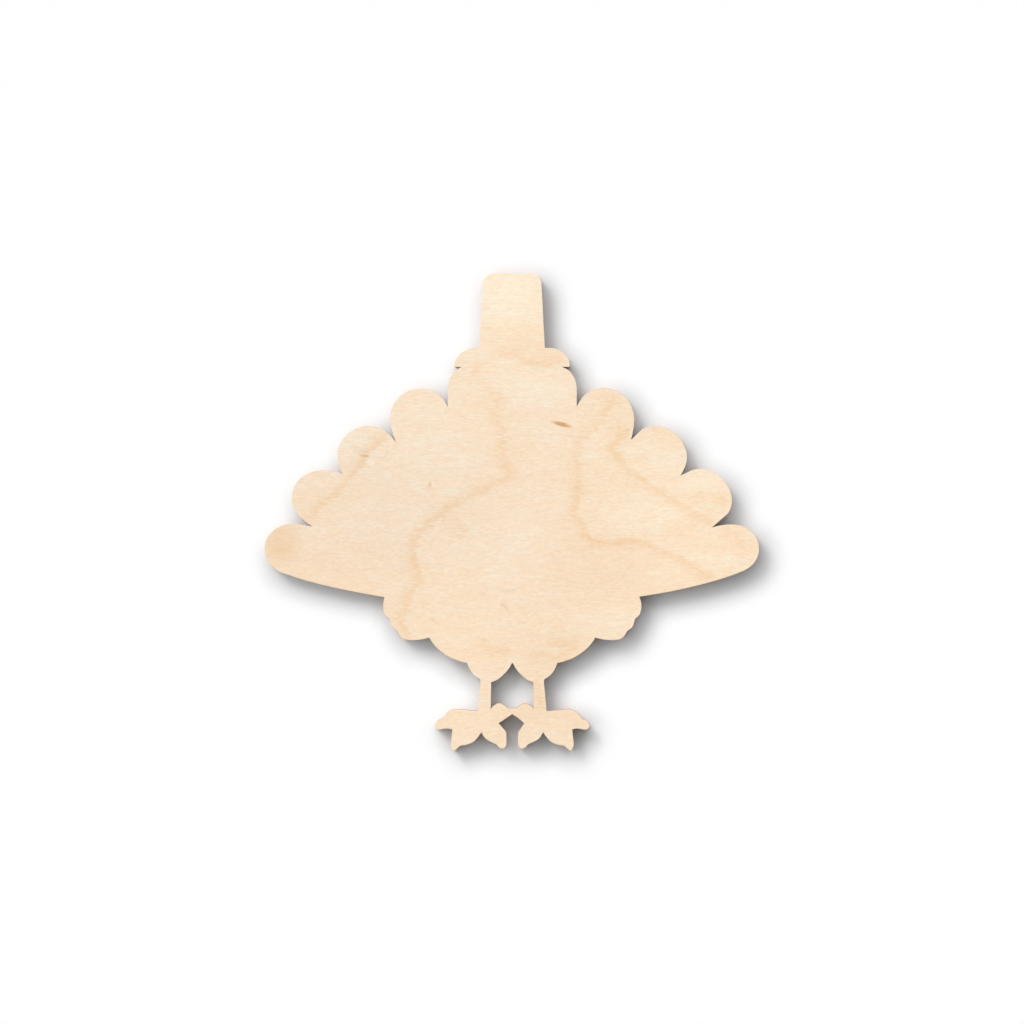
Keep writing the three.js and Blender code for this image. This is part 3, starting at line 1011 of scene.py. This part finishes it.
# %% Add the pin knots
PIN_KNOTS = {
    "knot by the tail": (-62, 6, 2.2, 1.3),
    "knot in the breast": (27, 31, 1.6, 1.1),
    "knot by the thigh": (44, -41, 2.6, 1.4),
}
KNOT_LAYERS = ((3.4, "#D9B183", 0.7), (1.0, "#8A5C38", 0.95))  # size, colour and depth
KNOT_TILT = 4
KNOT_FRAY = (1.2 * MM, 0.6 * MM, 0)
frayed = moved(tree, grain["where"], FRAY_WAVES, KNOT_FRAY)
for knot_x, knot_y, half_long, half_high in PIN_KNOTS.values():
    place = (knot_x * MM, knot_y * MM)
    for size, shade, depth in KNOT_LAYERS:
        half_size = (half_long * size * MM, half_high * size * MM)
        colour = add_mark(tree, frayed, colour, place, half_size, KNOT_TILT, shade, depth)
print(len(PIN_KNOTS), "pin knots on the back")

# %% [markdown]
# The beam leaves on this side, and its smoke stains the wood beside the cut a light brown, in
# puffs that reach one to three millimetres in.

# %% Stain the back beside the cut
PUFFS = (6, 6, 6)
SMOKE_LEAST, SMOKE_MOST = 0.7, 3.2  # millimetres in from the cut
SMOKE_DEPTH = 0.55
rim = add(tree, "Attribute", attribute_name="rim_distance").outputs["Fac"]
puffs = drawn_out(tree, grain["where"], PUFFS, seed=41.0)
smoke_reach = add(
    tree, "MapRange", {"Value": puffs, "From Min": 0.3, "From Max": 0.7,
                       "To Min": SMOKE_LEAST, "To Max": SMOKE_MOST},
)
smoke = add(
    tree, "MapRange", {"Value": rim, "From Max": smoke_reach, "To Min": SMOKE_DEPTH, "To Max": 0},
    interpolation_type="SMOOTHSTEP",
)
colour = add(
    tree, "Mix", {0: smoke, COLOUR_A: colour, COLOUR_B: linear("#B98B5C")}, data_type="RGBA",
).outputs[COLOUR_OUT]
bare_wood(tree, grain, colour, relief=0.004 * MM)
print("smoke reaches", SMOKE_MOST, "mm in at most")

# %% [markdown]
# ## Finish: birch edge, laser cut
# The beam burns its way through and toasts the edge to a deep brown. Its pulses leave fine
# upright lines. Where it crosses the fibres' ends the wood drinks the heat, so it is darker and
# shows pores, and along the fibres it is lighter and shows streaks. The pulses, streaks and pores
# of a real cut are about a tenth of a millimetre wide, and are drawn two to five times as coarse,
# so that they show.

# %% Mix an edge's finish
PULSES = (0.4, 0.4, 9)
SOOT = (9, 9, 4)
STREAKS_ALONG = {"x": (7, 0.5, 0.22), "y": (0.5, 7, 0.22)}
PORES = (0.3, 0.3, 0.3)
SIDE_TOAST = 0.26
ENDS_TOAST = 0.34  # more where the beam crosses the ends of the fibres
EDGE_RELIEF = 0.03 * MM


def toasted_edge(name, grain_along, light, dark, seed):
    """A laser-cut birch edge, with the ply's grain along x or y."""
    finish, tree = empty_finish(name)
    where = add(tree, "TexCoord").outputs["Object"]
    facing = add(tree, "SeparateXYZ", {0: add(tree, "NewGeometry").outputs["Normal"]})
    facing_ends = facing.outputs[0 if grain_along == "x" else 1]
    ends = add(tree, "Math", {0: facing_ends}, operation="ABSOLUTE")
    pulses = drawn_out(tree, where, PULSES, seed=seed)
    soot = drawn_out(tree, where, SOOT, detail=3.0, seed=seed + 5)
    streaks = drawn_out(tree, where, STREAKS_ALONG[grain_along], seed=seed + 9)
    pores = drawn_out(tree, where, PORES, detail=1.0, seed=seed + 13)
    toast = add(tree, "Math", {0: ends, 1: ENDS_TOAST, 2: SIDE_TOAST}, operation="MULTIPLY_ADD")
    toast = sum_up(tree, toast, [(pulses, 0.9), (soot, 0.9), (streaks, 0.5)])
    pitted = add(
        tree, "MapRange",
        {"Value": pores, "From Min": 0.33, "From Max": 0.42, "To Min": 0.28, "To Max": 0.0},
    )
    toast = add(tree, "Math", {0: pitted, 1: ends, 2: toast}, operation="MULTIPLY_ADD")
    ramp = add(tree, "ValToRGB", {"Fac": toast})
    ramp.color_ramp.elements[0].color = linear(light)
    ramp.color_ramp.elements[1].color = linear(dark)
    height = sum_up(tree, 0.5, [(pulses, 1.0), (streaks, 0.6)])
    bump = add(tree, "Bump", {"Height": height, "Distance": EDGE_RELIEF, "Strength": 1.0})
    surface = add(tree, "BsdfPrincipled", {"Base Color": ramp, "Roughness": 0.72, "Normal": bump})
    add(tree, "OutputMaterial", {"Surface": surface})
    return finish


print("fibre ends are toasted by", ENDS_TOAST, "more than their sides")

# %% [markdown]
# A ply's grain runs across the board or up it, so each ply has dark and light stretches in other
# places. That takes two edges.

# %% Mix both edges
ACROSS, UPRIGHT = "birch edge, laser cut, grain across", "birch edge, laser cut, grain upright"
edge_across = toasted_edge(ACROSS, "x", "#94683C", "#402616", seed=2.0)
edge_upright = toasted_edge(UPRIGHT, "y", "#855B33", "#382013", seed=29.0)
print("one edge across the board and one up it")

# %% [markdown]
# ## Finish: hardened adhesive film
# The plies are joined with a thin resin film, pressed hot. Cut, it is a fine dark brown line with
# a little more shine than the wood, broken where resin went into a pore.

# %% Mix the glue's finish
SPECKS = (0.8, 0.8, 0.8)
SMEARS = (6, 6, 2)
glue_finish, tree = empty_finish("adhesive film, hot pressed")
where = add(tree, "TexCoord").outputs["Object"]
specks = drawn_out(tree, where, SPECKS, detail=3.0, seed=51.0)
smears = drawn_out(tree, where, SMEARS, seed=57.0)
level = sum_up(tree, 0.5, [(specks, 1.4), (smears, 1.0)])
ramp = add(tree, "ValToRGB", {"Fac": level})
ramp.color_ramp.elements[0].color = linear("#4B2F19")
ramp.color_ramp.elements[1].color = linear("#8A5F35")
rough = add(tree, "MapRange", {"Value": specks, "To Min": 0.36, "To Max": 0.62})
bump = add(tree, "Bump", {"Height": specks, "Distance": 0.015 * MM, "Strength": 1.0})
surface = add(
    tree, "BsdfPrincipled", {"Base Color": ramp, "Roughness": rough, "Normal": bump, "IOR": 1.56},
)
add(tree, "OutputMaterial", {"Surface": surface})
print("glue with specks", SPECKS[0], "mm wide")

# %% [markdown]
# ## Press the board together
# Each layer takes the place of its own piece in the frame and moves with the one body. The rims
# of the flat sides are kept sharp in shading, so the faces look dead flat and the cut looks round.

# %% Put a layer in its place
SOFT_TURN = math.radians(50)
NEARLY_FLAT = 0.9  # the last step of an eased rim still takes the finish of its face


def put_in_place(bm, name, node, finishes, shown_side=0):
    """Makes a piece of one layer, with its face finish, where it has one, and its edge finish."""
    for face in bm.faces:
        face.smooth = True
        is_flat = face.normal.z * shown_side > NEARLY_FLAT
        face.material_index = 0 if is_flat else len(finishes) - 1
    for edge in bm.edges:
        flat_sides = [abs(face.normal.z) > DEAD_FLAT for face in edge.link_faces]
        sharp_turn = edge.calc_face_angle(0.0) > SOFT_TURN
        edge.smooth = not sharp_turn and (all(flat_sides) or not any(flat_sides))
    piece = made_piece(bm, name, finishes)
    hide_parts(node)
    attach(piece, "root")
    return piece


# %% [markdown]
# The back face goes down first. Its eased rim is below and its seam above, and its points learn
# how far they are from the cut. The inner plies alternate across it, and the glue goes between.

# %% Lay the back face, the inner plies and the glue
BACK_GRID = 2.5 * MM
GLUE_SET_BACK = 0.04 * MM
back_face = cut_layer("back_veneer", RIM_EASE, SEAM_EASE, grid_below=BACK_GRID)
back_piece = put_in_place(back_face, "back_face", "back_veneer", [back_finish, edge_across], -1)
x, y = points_of(back_piece.data)
note(back_piece.data, "rim_distance", measure_rim(x, y))
for name, node, finish in (
    ("cross_ply_back", "crossband_back", edge_upright),
    ("middle_ply", "core_ply", edge_across),
    ("cross_ply_front", "crossband_front", edge_upright),
):
    ply = cut_layer(node, SEAM_EASE, SEAM_EASE)
    put_in_place(ply, name, node, [finish])
for number in (1, 2, 3, 4):
    film = cut_layer(f"glue_line_{number}", 0.0, 0.0, set_back=GLUE_SET_BACK)
    put_in_place(film, f"glue_film_{number}", f"glue_line_{number}", [glue_finish])
print("back face, three inner plies and four films of glue laid")

# %% [markdown]
# The good face closes the board, and its points learn the growth lines and the patches.

# %% Lay the good face on top
good_piece = put_in_place(good_face, "good_face", "face_veneer", [good_finish, edge_across], 1)
x, y = points_of(good_piece.data)
patches = [measure_patches(kind, x, y) for kind in (TONE_PATCHES, RED_PATCHES)]
for number, values in zip(STORED_NUMBERS, (*measure_lines(x, y), *patches)):
    note(good_piece.data, number, values)
print(len(x), "points on the good face know the wood")
